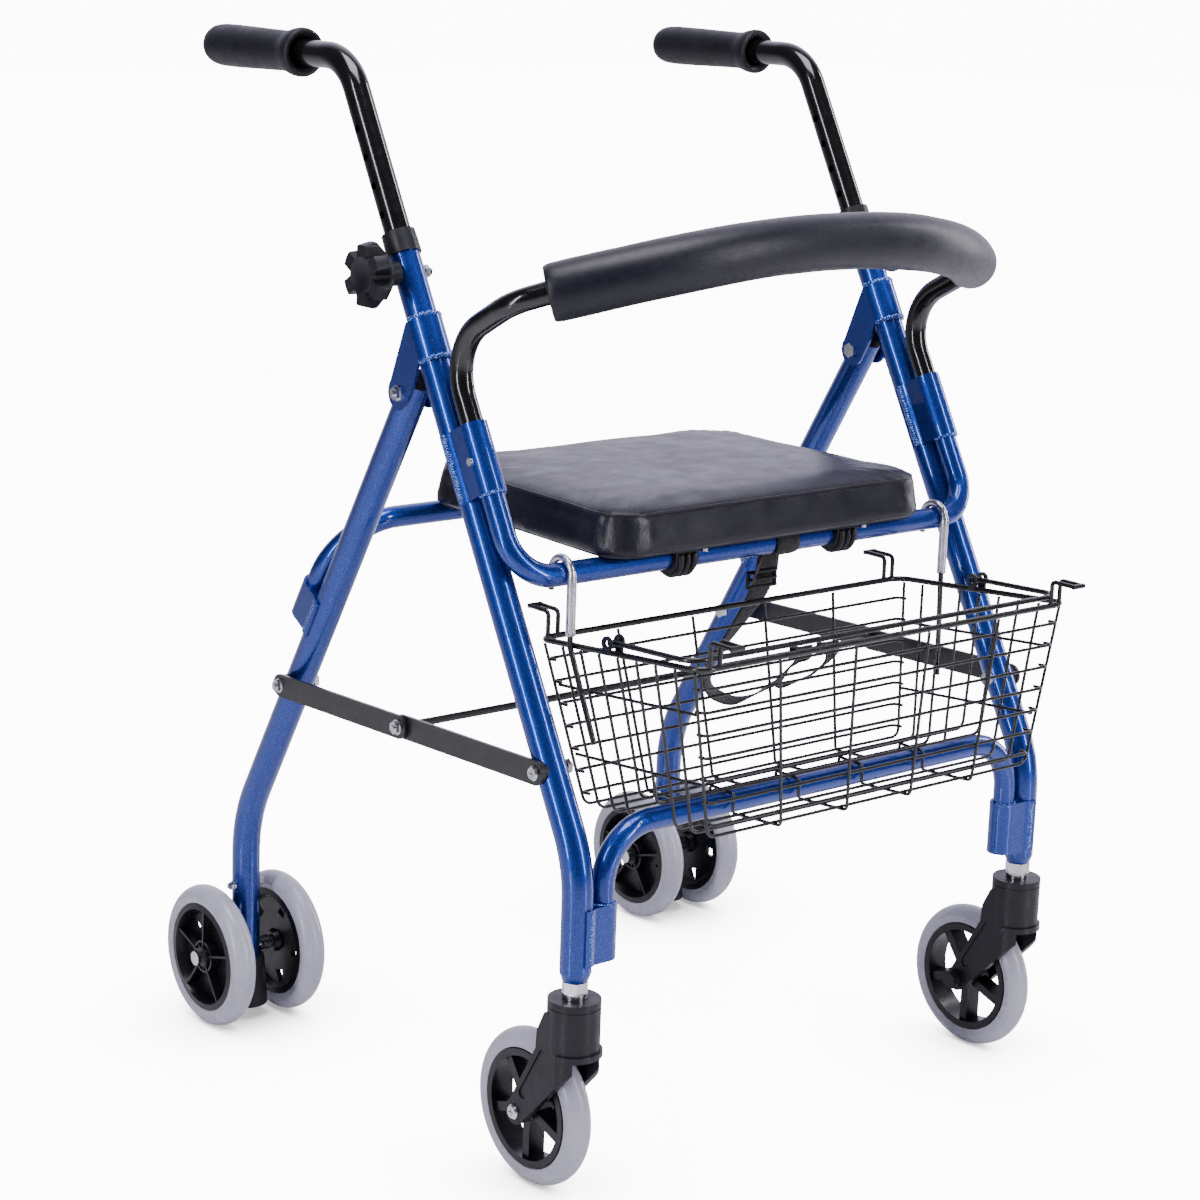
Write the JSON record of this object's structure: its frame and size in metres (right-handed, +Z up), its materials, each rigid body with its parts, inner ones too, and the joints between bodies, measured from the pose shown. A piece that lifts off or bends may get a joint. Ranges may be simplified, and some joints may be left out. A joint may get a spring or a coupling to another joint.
{
  "type": "wheeled walker",
  "caption": "Folding walker with padded seat, wire basket, curved backrest, height-adjustable handles, front casters and twin rear wheels with push-down brakes.",
  "frame": {"origin": "on the floor, under the middle of the walker: centred across its width and its depth", "axes": "+Z up; -Y is the front of the walker, where the casters and the basket are; +X is its left side"},
  "size_m": [0.6178, 0.6451, 0.896],
  "materials": {
    "frame_paint": "metallic blue flake lacquer, glossy",
    "black_paint": "gloss black powder coat",
    "foam": "matt charcoal foam",
    "black_plastic": "satin black moulding",
    "chrome_parts": "bright zinc or chrome plate",
    "grip_rubber": "soft black moulded grip",
    "tip_rubber": "matt black rubber",
    "webbing": "woven black webbing",
    "vinyl": "grained black vinyl with stitched seams",
    "board": "dark board, hidden",
    "black_wire": "vinyl dipped wire, satin black",
    "clear_sleeve": "translucent sleeve",
    "wheel_core": "satin black moulded core",
    "grey_tyre": "smooth lavender grey tyre"
  },
  "bodies": {
    "front_frame": {"front_legs": "frame_paint", "leg_brackets": "frame_paint", "tube_sockets": "frame_paint", "lower_cross_tube": "frame_paint", "seat_tube": "frame_paint", "backrest_tube": "black_paint", "backrest_pad": "foam", "leg_collars": "black_plastic", "caster_stems": "chrome_parts", "frame_fasteners": "chrome_parts", "front_bar_spacers": "black_plastic", "fold_strap": "webbing"},
    "snap_left": {"snap_button_left": "chrome_parts"},
    "snap_right": {"snap_button_right": "chrome_parts"},
    "seat": {"seat_cushion": "vinyl", "seat_board": "board", "seat_clips": "black_plastic", "seat_screws": "chrome_parts"},
    "basket": {"basket_rim": "black_wire", "basket_side_wires": "black_wire", "basket_end_wires": "black_wire", "basket_floor_wires": "black_wire", "basket_hangers": "black_wire", "hanger_sleeves": "clear_sleeve"},
    "bail": {"bail_handle": "black_wire"},
    "rear_frame": {"rear_legs": "frame_paint", "rear_sockets": "frame_paint", "rear_cross_tube": "frame_paint", "rear_leg_ends": "tip_rubber", "rear_fasteners": "chrome_parts", "rear_bar_spacers": "black_plastic", "brake_springs": "chrome_parts"},
    "front_bar_pair": {"front_bars": "black_paint", "cross_rod": "black_paint"},
    "rear_bar_pair": {"rear_bars": "black_paint", "mid_hinge_nuts": "chrome_parts"},
    "handle_left": {"handle_tube_left": "black_paint", "grip_left": "grip_rubber"},
    "knob_left": {"star_knob_left": "black_plastic"},
    "axle_left": {"rear_axle_left": "chrome_parts"},
    "rear_wheel_left_inner": {"rear_core_left_inner": "wheel_core", "rear_tyre_left_inner": "grey_tyre"},
    "rear_wheel_left_outer": {"rear_core_left_outer": "wheel_core", "rear_tyre_left_outer": "grey_tyre"},
    "caster_left": {"caster_fork_left": "black_plastic", "caster_axle_left": "chrome_parts"},
    "caster_wheel_left": {"caster_core_left": "wheel_core", "caster_tyre_left": "grey_tyre"},
    "handle_right": {"handle_tube_right": "black_paint", "grip_right": "grip_rubber"},
    "knob_right": {"star_knob_right": "black_plastic"},
    "axle_right": {"rear_axle_right": "chrome_parts"},
    "rear_wheel_right_inner": {"rear_core_right_inner": "wheel_core", "rear_tyre_right_inner": "grey_tyre"},
    "rear_wheel_right_outer": {"rear_core_right_outer": "wheel_core", "rear_tyre_right_outer": "grey_tyre"},
    "caster_right": {"caster_fork_right": "black_plastic", "caster_axle_right": "chrome_parts"},
    "caster_wheel_right": {"caster_core_right": "wheel_core", "caster_tyre_right": "grey_tyre"}
  },
  "joints": [
    {"name": "frame_fold", "type": "hinge", "parent": "front_frame", "child": "rear_frame", "pos_m": [0, 0.00901, 0.61782], "axis": [-1, 0, 0], "range_deg": [0, 30], "deforming": ["fold_strap"]},
    {"name": "front_bar_fold", "type": "hinge", "parent": "front_frame", "child": "front_bar_pair", "pos_m": [0, -0.18262, 0.349], "axis": [1, 0, 0], "range_deg": [0, 41.31]},
    {"name": "rear_bar_fold", "type": "hinge", "parent": "rear_frame", "child": "rear_bar_pair", "pos_m": [0, 0.17244, 0.337], "axis": [-1, 0, 0], "range_deg": [0, 39.89]},
    {"name": "seat_flip", "type": "hinge", "parent": "front_frame", "child": "seat", "pos_m": [0, -0.13329, 0.49], "axis": [1, 0, 0], "range_deg": [0, 75]},
    {"name": "basket_lift", "type": "slide", "parent": "front_frame", "child": "basket", "axis": [0, 0, 1], "range_m": [0, 0.04]},
    {"name": "bail_swing", "type": "hinge", "parent": "basket", "child": "bail", "pos_m": [0, -0.194, 0.44686], "axis": [-1, 0, 0], "range_deg": [0, 95]},
    {"name": "snap_left_press", "type": "slide", "parent": "front_frame", "child": "snap_left", "axis": [-1, 0, 0], "range_m": [0, 0.003], "stiffness_N_per_m": 400, "springref_m": -0.002},
    {"name": "handle_left_height", "type": "slide", "parent": "front_frame", "child": "handle_left", "axis": [0, 0.4818, 0.8763], "range_m": [-0.125, 0.025]},
    {"name": "knob_left_turn", "type": "hinge", "parent": "front_frame", "child": "knob_left", "pos_m": [0.29, 0.01749, 0.713], "axis": [1, 0, 0], "continuous": true},
    {"name": "axle_left_brake", "type": "slide", "parent": "rear_frame", "child": "axle_left", "axis": [0, 0, 1], "range_m": [0, 0.012], "stiffness_N_per_m": 5000, "springref_m": -0.012, "deforming": ["brake_springs"]},
    {"name": "caster_left_swivel", "type": "hinge", "parent": "front_frame", "child": "caster_left", "pos_m": [0.2544, -0.22, 0.15], "axis": [0, 0, 1], "continuous": true},
    {"name": "caster_wheel_left_roll", "type": "hinge", "parent": "caster_left", "child": "caster_wheel_left", "pos_m": [0.2544, -0.174, 0.065], "axis": [1, 0, 0], "continuous": true},
    {"name": "rear_wheel_left_inner_roll", "type": "hinge", "parent": "axle_left", "child": "rear_wheel_left_inner", "pos_m": [0.2174, 0.258, 0.065], "axis": [1, 0, 0], "continuous": true},
    {"name": "rear_wheel_left_outer_roll", "type": "hinge", "parent": "axle_left", "child": "rear_wheel_left_outer", "pos_m": [0.2914, 0.258, 0.065], "axis": [1, 0, 0], "continuous": true},
    {"name": "snap_right_press", "type": "slide", "parent": "front_frame", "child": "snap_right", "axis": [1, 0, 0], "range_m": [0, 0.003], "stiffness_N_per_m": 400, "springref_m": -0.002},
    {"name": "handle_right_height", "type": "slide", "parent": "front_frame", "child": "handle_right", "axis": [0, 0.4818, 0.8763], "range_m": [-0.125, 0.025]},
    {"name": "knob_right_turn", "type": "hinge", "parent": "front_frame", "child": "knob_right", "pos_m": [-0.29, 0.01749, 0.713], "axis": [1, 0, 0], "continuous": true},
    {"name": "axle_right_brake", "type": "slide", "parent": "rear_frame", "child": "axle_right", "axis": [0, 0, 1], "range_m": [0, 0.012], "stiffness_N_per_m": 5000, "springref_m": -0.012},
    {"name": "caster_right_swivel", "type": "hinge", "parent": "front_frame", "child": "caster_right", "pos_m": [-0.2544, -0.22, 0.15], "axis": [0, 0, 1], "continuous": true},
    {"name": "caster_wheel_right_roll", "type": "hinge", "parent": "caster_right", "child": "caster_wheel_right", "pos_m": [-0.2544, -0.174, 0.065], "axis": [1, 0, 0], "continuous": true},
    {"name": "rear_wheel_right_inner_roll", "type": "hinge", "parent": "axle_right", "child": "rear_wheel_right_inner", "pos_m": [-0.2174, 0.258, 0.065], "axis": [1, 0, 0], "continuous": true},
    {"name": "rear_wheel_right_outer_roll", "type": "hinge", "parent": "axle_right", "child": "rear_wheel_right_outer", "pos_m": [-0.2914, 0.258, 0.065], "axis": [1, 0, 0], "continuous": true}
  ],
  "couplings": [
    {"joint": "front_bar_fold", "follows": "frame_fold", "ratio": 1.3767},
    {"joint": "rear_bar_fold", "follows": "frame_fold", "ratio": 1.3294}
  ]
}
